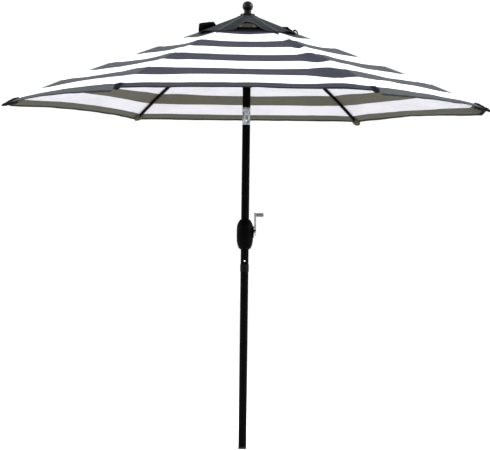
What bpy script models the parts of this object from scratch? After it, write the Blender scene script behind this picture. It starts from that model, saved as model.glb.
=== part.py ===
"""Two-tier patio umbrella: six folding ribs, a crank lift, a push-button tilt and a two-piece pole.

Metres, +Z up, the pole's foot on z = 0 and the pole's axis on the Z axis. The buttons face -Y and the
crank is on +X. Everything is drawn with the canopy open and upright.
"""
import math

import bmesh
import bpy
from mathutils import Matrix, Vector

GAP = 0.0003  # between pieces that touch
SIDES = 24  # facets round a turned piece
RIB_COUNT = 6
GORE_ANGLE = math.tau / RIB_COUNT

# pole
POLE_R = 0.019
POLE_WALL = 0.0015
POLE_BORE = POLE_R - POLE_WALL
FOOT_H = 0.008
SHOULDER_Z = 0.832  # top of the lower pole's full width
COLLAR_TOP_Z = 0.8693
NECK_R = 0.017
NECK_TOP_Z = 0.960
SNAP_Z = 0.884
MID_TOP_Z = 1.527

# crank
CRANK_Z = 1.018
HOUSING_BOTTOM_Z = 0.939
HOUSING_TOP_Z = 1.080
HOUSING_R = 0.0395
HOUSING_WALL = 0.003
SHAFT_R = 0.005
HUB_R = 0.015
ARM_X = 0.0475
ARM_LENGTH = 0.084
SPOOL_CORE_R = 0.010
CORD_R = 0.0015
WIND_R = 0.0123  # centre line of the wound cord

# tilt joint
TILT_Z = 1.583
TILT_BUTTON_Z = 1.546
SLOT_FLOOR_Z = TILT_Z - POLE_R - 0.0008
MAST_FOOT_Z = 1.609
PIN_R = 0.004
CORD_X = 0.0095  # where the cord passes beside the tilt pin

# head
MAST_TOP_Z = 1.9945
PULLEY_X = 0.0145
PULLEY_Z = 1.965
PULLEY_WIND_R = 0.0065  # centre line of the cord over the pulley
HUB_TOP_Z = 2.036
HUB_FLANGE_R = 0.047
VENT_TOP_Z = 2.044
BALL_R = 0.0255
BALL_Z = 2.0887

# canopy and frame: before the ribs bow, the outer cloth over a rib is at RIDGE_Z - SLOPE * radius
RIDGE_Z = 2.050
SLOPE = 0.3826
RIM_R = 1.143
CLOTH = 0.0008
RIB_HALF_W = 0.004
RIB_HALF_H = 0.006
RIB_WALL = 0.001
RIB_ANGLE = math.atan(SLOPE)
PIVOT_R = 0.038
CLOTH_RISE = RIB_HALF_H + GAP + CLOTH  # outer cloth above a rib's centre line
PIVOT_Z = RIDGE_Z - SLOPE * PIVOT_R - CLOTH_RISE / math.cos(RIB_ANGLE)
RIB_LENGTH = (1.105 - PIVOT_R) / math.cos(RIB_ANGLE)
TIP_LENGTH = (1.136 - 1.105) / math.cos(RIB_ANGLE)
BOW = 0.012  # most rise of a rib above the straight line from its pivot to the rim
BOW_SPAN = 1.180
HOLE_R = 0.0023
WIRE_R = 0.002

# strut: as long as the line from the rib's pivot to the bracket's pivot, so it folds at twice the rib's angle
BRACKET_X = 0.375
BRACKET_DROP = 0.018
STRUT_LENGTH = math.hypot(BRACKET_X, BRACKET_DROP)
STRUT_LEAN = math.pi / 2 - RIB_ANGLE - math.atan2(BRACKET_DROP, BRACKET_X)  # from the vertical
BRACKET_R = PIVOT_R + STRUT_LENGTH * math.sin(STRUT_LEAN)
BRACKET_Z = PIVOT_Z - STRUT_LENGTH * math.cos(STRUT_LEAN)
RUNNER_Z = PIVOT_Z - 2 * STRUT_LENGTH * math.cos(STRUT_LEAN)
STRUT_HALF_W = 0.003
STRUT_HALF_H = 0.0055
RUNNER_BORE = 0.0205
RUNNER_HALF_H = 0.022

# radii of the two tiers, measured along a rib
MAIN_INNER = 0.190
VENT_INNER = 0.0125
VENT_FLAT = 0.034
VENT_OUTER = 0.275
VENT_CORNER_Z = 1.9495
VENT_ARCH_Z = 1.9870
HEM_CURVE = 0.016  # how far the hem is cut in at mid-gore
RIB_FLAT = RIB_HALF_W + 0.001  # half width of the level strip of cloth over a rib


def clear_scene():
    for item in list(bpy.data.objects):
        bpy.data.objects.remove(item)


def make_material(name, colour, roughness, metallic=0.0):
    material = bpy.data.materials.new(name)
    material.use_nodes = True
    shader = material.node_tree.nodes["Principled BSDF"]
    shader.inputs["Base Color"].default_value = (*colour, 1.0)
    shader.inputs["Roughness"].default_value = roughness
    shader.inputs["Metallic"].default_value = metallic
    material.diffuse_color = (*colour, 1.0)
    return material


def new_solid(name, verts, faces):
    """A new object from points and faces, every face turned to point out."""
    mesh = bpy.data.meshes.new(name)
    mesh.from_pydata(verts, [], faces)
    work = bmesh.new()
    work.from_mesh(mesh)
    bmesh.ops.recalc_face_normals(work, faces=work.faces)
    work.to_mesh(mesh)
    work.free()
    item = bpy.data.objects.new(name, mesh)
    bpy.context.collection.objects.link(item)
    return item


def lathe(name, profile, axis="Z", sides=SIDES):
    """Turn (radius, height) points about an axis; points at radius 0 close the ends."""
    rings = []
    verts = []
    for radius, height in profile:
        count = 1 if radius == 0 else sides
        rings.append([len(verts) + k for k in range(count)])
        for k in range(count):
            turn = 2 * math.pi * (k + 0.5) / sides
            verts.append(Vector((radius * math.cos(turn), radius * math.sin(turn), height)))
    spin = {"X": Matrix.Rotation(math.pi / 2, 3, "Y"), "Y": Matrix.Rotation(-math.pi / 2, 3, "X"),
            "Z": Matrix.Identity(3)}[axis]
    verts = [spin @ v for v in verts]
    open_ended = profile[0][0] == 0
    pairs = zip(rings, rings[1:] if open_ended else rings[1:] + rings[:1])
    faces = []
    for low, high in pairs:
        for k in range(sides):
            face = [low[k % len(low)], low[(k + 1) % len(low)], high[(k + 1) % len(high)], high[k % len(high)]]
            face = list(dict.fromkeys(face))
            if len(face) > 2:
                faces.append(face)
    return new_solid(name, verts, faces)


def rod(name, radius, start, end, axis="Z", sides=12):
    return lathe(name, [(0, start), (radius, start), (radius, end), (0, end)], axis, sides)


def prism(name, outline, half, axis="Y"):
    """Extrude an outline both ways along an axis: (x, z) points along Y, or (y, z) points along X."""
    count = len(outline)
    verts = []
    for side in (-half, half):
        for a, b in outline:
            verts.append(Vector((a, side, b)) if axis == "Y" else Vector((side, a, b)))
    faces = [list(range(count)), list(range(count, 2 * count))]
    for k in range(count):
        after = (k + 1) % count
        faces.append([k, after, count + after, count + k])
    return new_solid(name, verts, faces)


def block(name, low, high):
    outline = [(low[0], low[2]), (high[0], low[2]), (high[0], high[2]), (low[0], high[2])]
    item = prism(name, outline, (high[1] - low[1]) / 2)
    item.data.transform(Matrix.Translation((0, (low[1] + high[1]) / 2, 0)))
    return item


def sweep(name, path, radius, sides=6):
    """A round cord along a path of points, closed at both ends."""
    path = [Vector(p) for p in path]
    along = [(path[min(k + 1, len(path) - 1)] - path[max(k - 1, 0)]).normalized() for k in range(len(path))]
    side = along[0].orthogonal().normalized()
    verts = []
    for point, heading in zip(path, along):
        side = (side - heading * side.dot(heading)).normalized()
        up = heading.cross(side)
        for k in range(sides):
            turn = 2 * math.pi * k / sides
            verts.append(point + radius * (math.cos(turn) * side + math.sin(turn) * up))
    faces = [list(range(sides)), list(range(len(verts) - sides, len(verts)))]
    for ring in range(len(path) - 1):
        for k in range(sides):
            after = (k + 1) % sides
            a = ring * sides
            faces.append([a + k, a + after, a + sides + after, a + sides + k])
    return new_solid(name, verts, faces)


def loft(name, sections):
    """Join rectangles given as (x, half width, half height) into one solid along X."""
    verts = []
    for x, half_w, half_h in sections:
        for y, z in ((-half_w, -half_h), (half_w, -half_h), (half_w, half_h), (-half_w, half_h)):
            verts.append(Vector((x, y, z)))
    last = len(verts) - 4
    faces = [[0, 1, 2, 3], [last, last + 1, last + 2, last + 3]]
    for ring in range(len(sections) - 1):
        for k in range(4):
            after = (k + 1) % 4
            faces.append([4 * ring + k, 4 * ring + after, 4 * ring + 4 + after, 4 * ring + 4 + k])
    return new_solid(name, verts, faces)


def combine(target, tool, operation):
    """Cut a tool from a target, join the two, or keep what they share; the tool is used up."""
    step = target.modifiers.new("combine", "BOOLEAN")
    step.operation = operation
    step.solver = "EXACT"
    step.object = tool
    bpy.context.view_layer.update()
    result = bpy.data.meshes.new_from_object(target.evaluated_get(bpy.context.evaluated_depsgraph_get()))
    target.modifiers.clear()
    target.data = result
    bpy.data.objects.remove(tool)
    return target


def cut(target, *tools):
    for tool in tools:
        combine(target, tool, "DIFFERENCE")
    return target


def join(target, *tools):
    for tool in tools:
        combine(target, tool, "UNION")
    return target


def placed(item, x=0.0, y=0.0, z=0.0, turn=0.0, lean=0.0):
    """Put an item at a point, leaned about Y and then turned about Z."""
    item.location = (x, y, z)
    item.rotation_euler = (0, lean, turn)
    return item


def finish(item, material, smooth=True):
    item.data.materials.clear()
    item.data.materials.append(material)
    if smooth:
        item.data.shade_smooth()
        item.data.set_sharp_from_angle(angle=math.radians(35))
    return item


def copy_of(item, name):
    twin = bpy.data.objects.new(name, item.data)
    bpy.context.collection.objects.link(twin)
    return twin


def rounded_bar(start, end, half_h, steps=6):
    """Outline of a bar with a round end at start and a round or square end at end."""
    points = []
    for k in range(steps + 1):
        turn = math.pi / 2 + math.pi * k / steps
        points.append((start + half_h * math.cos(turn), half_h * math.sin(turn)))
    return points + [(end, -half_h), (end, half_h)]


def capsule(length, half_h, steps=6):
    points = rounded_bar(0, length, half_h, steps)[:steps + 1]
    for k in range(steps + 1):
        turn = -math.pi / 2 + math.pi * k / steps
        points.append((length + half_h * math.cos(turn), half_h * math.sin(turn)))
    return points


def strip_outline(line, thickness):
    """Outline of a bent strip with a line of points down its middle."""
    points = [Vector(p) for p in line]
    left = []
    right = []
    for k, point in enumerate(points):
        before = (point - points[k - 1]).normalized() if k else (points[1] - point).normalized()
        after = (points[k + 1] - point).normalized() if k + 1 < len(points) else before
        across = (before + after).normalized().orthogonal()
        reach = 0.5 * thickness / max(0.5, across.dot(after.orthogonal()))
        left.append(tuple(point + reach * across))
        right.append(tuple(point - reach * across))
    return left + right[::-1]


def tube_profile(outer, inner, bottom, top):
    return [(inner, bottom), (outer, bottom), (outer, top), (inner, top)]


def build_pole(steel, plastic, bright):
    lower = lathe("lower_pole", [
        (POLE_BORE, FOOT_H + GAP), (POLE_R, FOOT_H + GAP), (POLE_R, SHOULDER_Z), (NECK_R, SHOULDER_Z),
        (NECK_R, NECK_TOP_Z), (NECK_R - POLE_WALL, NECK_TOP_Z), (NECK_R - POLE_WALL, SHOULDER_Z - 0.0025),
        (POLE_BORE, SHOULDER_Z - 0.0025)])
    button_way = 0.0042
    cut(lower, placed(rod("way", button_way, -0.03, 0.0, "Y"), z=SNAP_Z))
    finish(lower, steel["pole"])

    chamfer = 0.001
    foot_r = POLE_R + chamfer
    plug_r = POLE_BORE - GAP
    finish(lathe("foot_plug", [
        (0, 0), (foot_r - chamfer, 0), (foot_r, chamfer), (foot_r, FOOT_H), (plug_r, FOOT_H),
        (plug_r, 0.045), (plug_r - chamfer, 0.047), (0, 0.047)]), plastic["foot"])

    collar_r = 0.0208
    finish(lathe("joint_collar", [
        (NECK_R + GAP, SHOULDER_Z + GAP), (collar_r - chamfer, SHOULDER_Z + GAP),
        (collar_r, SHOULDER_Z + GAP + chamfer), (collar_r, COLLAR_TOP_Z - chamfer),
        (collar_r - chamfer, COLLAR_TOP_Z), (NECK_R + GAP, COLLAR_TOP_Z)]), plastic["collar"])

    button = lathe("snap_button", [
        (0, -0.0222), (0.0020, -0.0218), (0.0036, -0.0206), (0.0039, -0.0192), (0.0039, -0.0141),
        (0.0055, -0.0141), (0.0055, -0.0125), (0, -0.0125)], "Y", 16)
    finish(placed(button, z=SNAP_Z), bright["snap"])

    back_y = 0.0141
    spring_line = [(-0.0119, 0.006), (-0.0119, -0.006), (-0.0095, -0.014), (0.0105, -0.046), (back_y, -0.044),
                   (back_y, -0.020)]
    spring = prism("snap_spring", strip_outline(spring_line, 0.0006), 0.004, "X")
    finish(placed(spring, z=SNAP_Z), bright["spring"], False)

    mid = lathe("mid_pole", tube_profile(POLE_R, POLE_BORE, COLLAR_TOP_Z + GAP, MID_TOP_Z))
    cut(mid, placed(rod("way", button_way, -0.03, 0.0, "Y"), z=SNAP_Z),
        placed(rod("way", SHAFT_R + GAP, -0.03, 0.03, "X"), z=CRANK_Z))
    finish(mid, steel["pole"])


def housing_half(name, side):
    """One half of the egg-shaped crank housing; side is -1 for the front and +1 for the rear."""
    low = HOUSING_BOTTOM_Z
    top = HOUSING_TOP_Z
    bore = POLE_R + GAP
    shape = [(0.0225, low), (0.029, low + 0.006), (0.0350, low + 0.020), (0.0385, low + 0.037),
             (HOUSING_R, low + 0.060), (HOUSING_R, low + 0.095), (0.0375, low + 0.115),
             (0.0315, top - 0.012), (0.0265, top - 0.004), (0.0225, top)]
    inside = [(radius - HOUSING_WALL, height) for radius, height in reversed(shape[1:-1])]
    half = lathe(name, [(bore, low)] + shape + [(bore, top)] + [(bore, top - 0.010)] + inside[1:-1]
                 + [(bore, low + 0.012)])
    boss = lathe("boss", [(0, 0.030), (0.0285, 0.030), (0.0285, 0.0405), (0.0265, 0.0420), (0, 0.0420)], "X")
    way = rod("way", HUB_R + 0.0005, 0.015, 0.06, "X", SIDES)
    join(half, placed(boss, z=CRANK_Z + 0.003))
    cut(half, placed(way, z=CRANK_Z))
    cut(half, block("other", (-0.06, -0.06, low - 0.01), (0.06, GAP / 2, top + 0.01)) if side > 0 else
        block("other", (-0.06, -GAP / 2, low - 0.01), (0.06, 0.06, top + 0.01)))
    return half


def build_crank(plastic, bright, cord):
    for name, side in (("crank_housing_front", -1), ("crank_housing_rear", 1)):
        finish(housing_half(name, side), plastic["housing"])

    shaft_end = 0.030
    shaft = lathe("crank_shaft", [
        (0, -shaft_end), (0.008, -shaft_end), (0.008, -shaft_end + 0.003), (SHAFT_R, -shaft_end + 0.003),
        (SHAFT_R, shaft_end), (0, shaft_end)], "X", 16)
    finish(placed(shaft, z=CRANK_Z), bright["shaft"])

    half = 0.010
    lip = 0.0012
    lip_r = 0.0138
    spool = lathe("cord_spool", [
        (SHAFT_R + GAP, -half), (lip_r, -half), (lip_r, -half + lip), (SPOOL_CORE_R, -half + lip),
        (SPOOL_CORE_R, half - lip), (lip_r, half - lip), (lip_r, half), (SHAFT_R + GAP, half)], "X", 16)
    finish(placed(spool, z=CRANK_Z), plastic["spool"])

    arm_half_t = 0.005
    arm_half_w = 0.0065
    hub = lathe("crank_arm", [
        (0, shaft_end + GAP), (HUB_R, shaft_end + GAP), (HUB_R, 0.051), (HUB_R - 0.003, 0.054), (0, 0.054)], "X")
    bar_outline = [(-arm_half_w, 0.0), (arm_half_w, 0.0), (arm_half_w * 0.8, ARM_LENGTH + 0.004),
                   (arm_half_w * 0.4, ARM_LENGTH + 0.009), (-arm_half_w * 0.4, ARM_LENGTH + 0.009),
                   (-arm_half_w * 0.8, ARM_LENGTH + 0.004)]
    bar = placed(prism("bar", bar_outline, arm_half_t, "X"), x=ARM_X)
    stud = placed(rod("stud", 0.003, 0.0, 0.030, "X"), x=ARM_X, z=ARM_LENGTH)
    finish(placed(join(hub, bar, stud), z=CRANK_Z), bright["arm"])

    grip_start = ARM_X + arm_half_t + GAP
    grip_end = 0.0875
    grip = lathe("crank_grip", [
        (0, grip_end), (0.006, grip_end), (0.0088, grip_end - 0.003), (0.0096, grip_end - 0.010),
        (0.0088, grip_start + 0.004), (0.0075, grip_start), (0.0034, grip_start), (0.0034, ARM_X + 0.0305),
        (0, ARM_X + 0.0305)], "X", 16)
    finish(placed(grip, z=CRANK_Z + ARM_LENGTH), plastic["grip"])

    turns = 3
    per_turn = 14
    steps = turns * per_turn
    reach = 0.0051
    path = []
    for k in range(steps + 1):
        angle = -2 * math.pi * turns * (1 - k / steps)
        x = -reach + 2 * reach * k / steps
        path.append((x, WIND_R * math.cos(angle), CRANK_Z + WIND_R * math.sin(angle)))
    path += [(reach + 0.0005, WIND_R, CRANK_Z + 0.05), (CORD_X, 0, MID_TOP_Z - 0.05), (CORD_X, 0, TILT_Z - GAP)]
    finish(sweep("lift_cord_lower", path, CORD_R), cord)


def cheek_outline(bottom):
    """A block with a half-round top about the tilt pin, in (x, z)."""
    points = [(-POLE_R, bottom), (POLE_R, bottom)]
    for k in range(13):
        turn = math.pi * k / 12
        points.append((POLE_R * math.cos(turn), TILT_Z + POLE_R * math.sin(turn)))
    return points


def cord_way(bottom, top):
    return placed(rod("way", 0.0035, bottom, top), x=CORD_X)


def build_tilt(bright, plastic):
    slot_half = 0.0083
    spigot_r = POLE_BORE - GAP
    base = lathe("tilt_base", [(0, MID_TOP_Z + GAP), (POLE_R, MID_TOP_Z + GAP), (POLE_R, TILT_Z + POLE_R + 0.002),
                               (0, TILT_Z + POLE_R + 0.002)])
    combine(base, prism("cheeks", cheek_outline(MID_TOP_Z - 0.01), 0.03), "INTERSECT")
    join(base, rod("spigot", spigot_r, MID_TOP_Z - 0.040, MID_TOP_Z + 0.002, "Z", SIDES))
    cut(base, block("slot", (-0.03, -slot_half, SLOT_FLOOR_Z), (0.03, slot_half, TILT_Z + 0.03)),
        placed(rod("way", PIN_R + GAP, -0.03, 0.03, "Y"), z=TILT_Z),
        placed(rod("way", 0.0044, -0.03, -0.004, "Y", 16), z=TILT_BUTTON_Z), cord_way(1.45, 1.58))
    finish(base, bright["casting"])

    tongue_half = slot_half - GAP
    tongue_r = POLE_R - 0.0002
    outline = [(-tongue_r, MAST_FOOT_Z - 0.001)]
    for k in range(13):
        turn = math.pi + math.pi * k / 12
        outline.append((tongue_r * math.cos(turn), TILT_Z + tongue_r * math.sin(turn)))
    outline.append((tongue_r, MAST_FOOT_Z - 0.001))
    tongue = prism("tilt_tongue", outline, tongue_half)
    shoulder_z = TILT_Z + POLE_R + 0.0006
    head = lathe("head", [
        (0, shoulder_z), (POLE_R, shoulder_z), (POLE_R, MAST_FOOT_Z), (spigot_r, MAST_FOOT_Z),
        (spigot_r, MAST_FOOT_Z + 0.040), (0, MAST_FOOT_Z + 0.040)])
    join(tongue, head)
    cut(tongue, placed(rod("way", PIN_R + GAP, -0.03, 0.03, "Y"), z=TILT_Z), cord_way(1.55, 1.70))
    for vertex in tongue.data.vertices:
        vertex.co.z -= TILT_Z
    finish(placed(tongue, z=TILT_Z), bright["casting"])

    pin_end = 0.018
    pin = lathe("tilt_pin", [
        (0, -pin_end), (PIN_R - 0.001, -pin_end), (PIN_R, -pin_end + 0.001), (PIN_R, pin_end - 0.001),
        (PIN_R - 0.001, pin_end), (0, pin_end)], "Y", 16)
    finish(placed(pin, z=TILT_Z), bright["pin"])

    button = lathe("tilt_button", [
        (0, -0.0200), (0.0022, -0.0198), (0.0037, -0.0190), (0.0041, -0.0180), (0.0041, -0.0080), (0, -0.0080)],
        "Y", 16)
    finish(placed(button, z=TILT_BUTTON_Z), plastic["button"])


def slotted_flange(item, bottom, top, slot_start, slot_half):
    """Add a wide flange to a sleeve and cut one radial slot in it for each rib or strut."""
    join(item, rod("flange", HUB_FLANGE_R, bottom, top, "Z", SIDES * 2))
    for k in range(RIB_COUNT):
        slot = block("slot", (slot_start, -slot_half, bottom - 0.01), (HUB_FLANGE_R + 0.01, slot_half, top + 0.01))
        cut(item, placed(slot, turn=GORE_ANGLE * k))
    return item


def build_head(steel, plastic, bright, cord):
    mast = lathe("upper_mast", tube_profile(POLE_R, POLE_BORE, MAST_FOOT_Z + GAP, MAST_TOP_Z))
    cut(mast, block("slot", (0.008, -0.0033, PULLEY_Z - 0.012), (0.03, 0.0033, PULLEY_Z + 0.0115)))
    finish(mast, steel["pole"])

    stud_r = 0.005
    stud_top_z = 2.062
    core_r = 0.026
    spigot_r = POLE_BORE - GAP
    hub = lathe("rib_hub", [
        (0, MAST_TOP_Z - 0.014), (spigot_r, MAST_TOP_Z - 0.014), (spigot_r, MAST_TOP_Z + GAP),
        (core_r, MAST_TOP_Z + GAP), (core_r, HUB_TOP_Z), (stud_r, HUB_TOP_Z), (stud_r, stud_top_z),
        (0, stud_top_z)])
    flange_bottom = PIVOT_Z - 0.0105
    slotted_flange(hub, flange_bottom, HUB_TOP_Z, PIVOT_R - 0.0095, RIB_HALF_W + 0.0006)
    for k in range(RIB_COUNT):
        turn = GORE_ANGLE * k
        wire = rod("wire", WIRE_R, -0.008, 0.008, "Y")
        join(hub, placed(wire, PIVOT_R * math.cos(turn), PIVOT_R * math.sin(turn), PIVOT_Z, turn))
    finish(hub, plastic["hub"])

    flange_z = VENT_TOP_Z + GAP
    ball = []
    for k in range(9):
        angle = math.radians(-47 + 137 * k / 8)
        ball.append((0 if k == 8 else BALL_R * math.cos(angle), BALL_Z + BALL_R * math.sin(angle)))
    finish(lathe("finial", [
        (0, stud_top_z + 0.001), (stud_r + GAP, stud_top_z + 0.001), (stud_r + GAP, flange_z), (0.0340, flange_z),
        (0.0352, flange_z + 0.0020), (0.0352, flange_z + 0.0060), (0.0335, flange_z + 0.0080),
        (0.0215, flange_z + 0.0105), (0.0172, flange_z + 0.0135)] + ball), plastic["finial"])

    pulley = lathe("cord_pulley", [
        (0, -0.0060), (0.0015, -0.0060), (0.0015, -0.0026), (0.0060, -0.0026), (0.0060, -0.0019),
        (0.0043, -0.0016), (0.0043, 0.0016), (0.0060, 0.0019), (0.0060, 0.0026), (0.0015, 0.0026),
        (0.0015, 0.0060), (0, 0.0060)], "Y", 16)
    finish(placed(pulley, x=PULLEY_X, z=PULLEY_Z), plastic["pulley"])

    path = [(CORD_X, 0, TILT_Z + GAP), (PULLEY_X - PULLEY_WIND_R, 0, PULLEY_Z - 0.1)]
    for k in range(9):
        turn = math.pi * (1 - k / 8)
        path.append((PULLEY_X + PULLEY_WIND_R * math.cos(turn), 0, PULLEY_Z + PULLEY_WIND_R * math.sin(turn)))
    finish(sweep("lift_cord_upper", path, CORD_R), cord)
    drop_x = PULLEY_X + PULLEY_WIND_R
    runner_top = RUNNER_Z + RUNNER_HALF_H
    drop = [(drop_x, 0, PULLEY_Z - GAP), (drop_x, 0, (PULLEY_Z + runner_top) / 2), (drop_x, 0, runner_top + GAP)]
    finish(sweep("lift_cord_drop", drop, CORD_R), cord)

    sleeve_r = 0.026
    runner = lathe("runner", [
        (RUNNER_BORE, -RUNNER_HALF_H), (sleeve_r - 0.002, -RUNNER_HALF_H), (sleeve_r, -RUNNER_HALF_H + 0.002),
        (sleeve_r, RUNNER_HALF_H - 0.002), (sleeve_r - 0.001, RUNNER_HALF_H), (RUNNER_BORE, RUNNER_HALF_H)])
    slotted_flange(runner, -0.011, 0.011, PIVOT_R - 0.0075, STRUT_HALF_W + 0.0008)
    cut(runner, rod("bore", RUNNER_BORE, -0.05, 0.05, "Z", SIDES))
    finish(placed(runner, z=RUNNER_Z), plastic["runner"])


def rib_bow(x):
    """Rise of a rib's centre line above its straight line, at a distance from the pivot; most in the outer half."""
    return BOW * math.sin(math.pi * (x / BOW_SPAN) ** 2)


def rib_bow_slope(x):
    return BOW * math.cos(math.pi * (x / BOW_SPAN) ** 2) * math.tau * x / BOW_SPAN ** 2


def bowed_bar(start, end, half_h, round_start, steps=16):
    """Outline of a rib or of the hollow in it, from start to end along the bowed line."""
    stations = [start + (end - start) * k / steps for k in range(steps + 1)]
    top = [(x, rib_bow(x) + half_h) for x in stations]
    bottom = [(x, rib_bow(x) - half_h) for x in reversed(stations)]
    if not round_start:
        return top + bottom
    nose = [(x, z + rib_bow(start)) for x, z in rounded_bar(start, end, half_h)[1:-3]]
    return top + bottom + nose[::-1]


def build_frame(steel, plastic):
    """Six ribs, each with a tip and a strut bracket fixed to it, and six struts."""
    rib = prism("rib_0", bowed_bar(0, RIB_LENGTH, RIB_HALF_H, True), RIB_HALF_W)
    hollow_h = RIB_HALF_H - RIB_WALL
    hollow_w = RIB_HALF_W - RIB_WALL
    cut(rib, rod("hole", HOLE_R, -0.01, 0.01, "Y"),
        prism("hollow", bowed_bar(0.020, RIB_LENGTH + 0.01, hollow_h, False), hollow_w))
    finish(rib, steel["rib"], False)

    plug = 0.025
    shoulder = 3 * GAP  # the tip leans from the rib's square end
    tip = loft("rib_tip_0", [
        (-plug, hollow_w - GAP, hollow_h - GAP), (shoulder, hollow_w - GAP, hollow_h - GAP),
        (shoulder, RIB_HALF_W, RIB_HALF_H), (0.6 * TIP_LENGTH, RIB_HALF_W, RIB_HALF_H),
        (0.9 * TIP_LENGTH, 0.8 * RIB_HALF_W, 0.6 * RIB_HALF_H), (TIP_LENGTH, 0.5 * RIB_HALF_W, 0.3 * RIB_HALF_H)])
    finish(tip, plastic["tip"], False)

    inner = RIB_HALF_W + GAP
    outer = inner + 0.002
    web_top = -RIB_HALF_H - 2 * GAP
    web_low = web_top - 0.002
    drop = BRACKET_DROP + rib_bow(BRACKET_X)
    low = -drop - 0.006
    high = 0.004
    outline = [(-outer, low), (-inner, low), (-inner, web_low), (inner, web_low), (inner, low), (outer, low),
               (outer, high), (inner, high), (inner, web_top), (-inner, web_top), (-inner, high), (-outer, high)]
    bracket = prism("rib_bracket_0", outline, 0.012, "X")
    join(bracket, placed(rod("pin", WIRE_R, -outer - 0.001, outer + 0.001, "Y"), z=-drop))
    finish(bracket, steel["bracket"], False)

    strut = prism("strut_0", capsule(STRUT_LENGTH, STRUT_HALF_H), STRUT_HALF_W)
    cut(strut, rod("hole", HOLE_R, -0.01, 0.01, "Y"),
        placed(rod("hole", HOLE_R, -0.01, 0.01, "Y"), x=STRUT_LENGTH))
    finish(strut, steel["strut"], False)

    for k in range(RIB_COUNT):
        turn = GORE_ANGLE * k
        across, along = math.cos(turn), math.sin(turn)
        this_rib = rib if k == 0 else copy_of(rib, f"rib_{k}")
        this_tip = tip if k == 0 else copy_of(tip, f"rib_tip_{k}")
        this_bracket = bracket if k == 0 else copy_of(bracket, f"rib_bracket_{k}")
        this_strut = strut if k == 0 else copy_of(strut, f"strut_{k}")
        placed(this_rib, PIVOT_R * across, PIVOT_R * along, PIVOT_Z, turn, RIB_ANGLE)
        for piece, x in ((this_tip, RIB_LENGTH), (this_bracket, BRACKET_X)):
            piece.parent = this_rib
            piece.location = (x, 0, rib_bow(x))
        this_tip.rotation_euler = (0, -math.atan(rib_bow_slope(RIB_LENGTH)), 0)
        placed(this_strut, BRACKET_R * across, BRACKET_R * along, BRACKET_Z, turn, math.pi / 2 + STRUT_LEAN)


def cloth_solid(name, rows):
    """A thin closed solid under a grid of points on the outer face of a cloth; points are taken from the pivot."""
    verts = [Vector(point) - Vector((PIVOT_R, 0, PIVOT_Z)) for row in rows for point in row]
    across = len(rows[0])
    count = len(verts)
    depth = CLOTH / math.cos(RIB_ANGLE)
    verts += [v - Vector((0, 0, depth)) for v in verts]
    faces = []
    for row in range(len(rows) - 1):
        for k in range(across - 1):
            a = row * across + k
            quad = [a, a + 1, a + across + 1, a + across]
            faces.append(quad)
            faces.append([count + q for q in reversed(quad)])
    edge = list(range(across)) + [across * r + across - 1 for r in range(1, len(rows))]
    edge += [across * len(rows) - 1 - k for k in range(1, across)]
    edge += [across * r for r in range(len(rows) - 2, 0, -1)]
    for a, b in zip(edge, edge[1:] + edge[:1]):
        faces.append([a, b, count + b, count + a])
    return new_solid(name, verts, faces)


def ridge_at(radius):
    """Height and downward slope of the outer cloth over a rib, at a radius."""
    x = (radius - PIVOT_R) / math.cos(RIB_ANGLE)
    for _ in range(4):
        turn = math.atan(rib_bow_slope(x))
        along = x - CLOTH_RISE * math.sin(turn)
        above = rib_bow(x) + CLOTH_RISE * math.cos(turn)
        x -= (PIVOT_R + along * math.cos(RIB_ANGLE) + above * math.sin(RIB_ANGLE) - radius) / math.cos(RIB_ANGLE)
    height = PIVOT_Z - along * math.sin(RIB_ANGLE) + above * math.cos(RIB_ANGLE)
    return height, math.tan(RIB_ANGLE - turn)


def hem_pull(radius, share):
    """How far the cloth is cut in, from 0 on a rib (share 0) to the most in mid-gore (share 1)."""
    return HEM_CURVE * (radius / RIM_R) ** 2 * math.sin(math.pi / 2 * share)


def main_gore(name, radii, inner_shares):
    """One panel of the main canopy, straight across from the middle of a rib to the middle of the next.

    radii are measured along the ribs. The columns are the rib's middle, its edge, the inner shares of the way
    across, and the same for the next rib. Over the ribs the cloth is level across.
    """
    rows = []
    for radius in radii:
        height, slope = ridge_at(radius)
        span = radius * math.sin(GORE_ANGLE)
        shares = [GAP / 2 / span, RIB_FLAT / span, *inner_shares, 1 - RIB_FLAT / span, 1 - GAP / 2 / span]
        row = []
        for share in shares:
            pulled = radius - hem_pull(radius, 1 - abs(2 * share - 1))
            sideways = pulled * math.sin(GORE_ANGLE) * min(share, 1 - share)
            rise = radius - pulled + math.tan(GORE_ANGLE / 2) * min(sideways, RIB_FLAT)
            row.append((pulled * (1 - share * (1 - math.cos(GORE_ANGLE))), pulled * math.sin(GORE_ANGLE) * share,
                        height + slope * rise))
        rows.append(row)
    return cloth_solid(name, rows)


def vent_height(radius, share):
    """Flat under the finial, falling along the ribs, and arched up in mid-gore."""
    out = max(0.0, (radius - VENT_FLAT) / (VENT_OUTER - VENT_FLAT))
    arch = share * share * (3 - 2 * share)
    return VENT_TOP_Z + out * ((1 - arch) * (VENT_CORNER_Z - VENT_TOP_Z) + arch * (VENT_ARCH_Z - VENT_TOP_Z))


def vent_petal(name, radii, shares):
    """One petal of the vent tier, centred on a rib and reaching to the middle of the gore on both sides.

    shares run from 0 on the rib to 1 in mid-gore.
    """
    half_turn = GORE_ANGLE / 2
    rows = []
    for radius in radii:
        width = radius * math.sin(half_turn) * math.cos(half_turn)
        row = []
        for share in [-c for c in reversed(shares[1:])] + list(shares):
            column = min(abs(share), 1 - GAP / 2 / width)
            pulled = radius - hem_pull(radius, column)
            row.append((pulled * (1 - column * math.sin(half_turn) ** 2),
                        math.copysign(pulled / radius * column * width, share), vent_height(pulled, column)))
        rows.append(row)
    return cloth_solid(name, rows)


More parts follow.
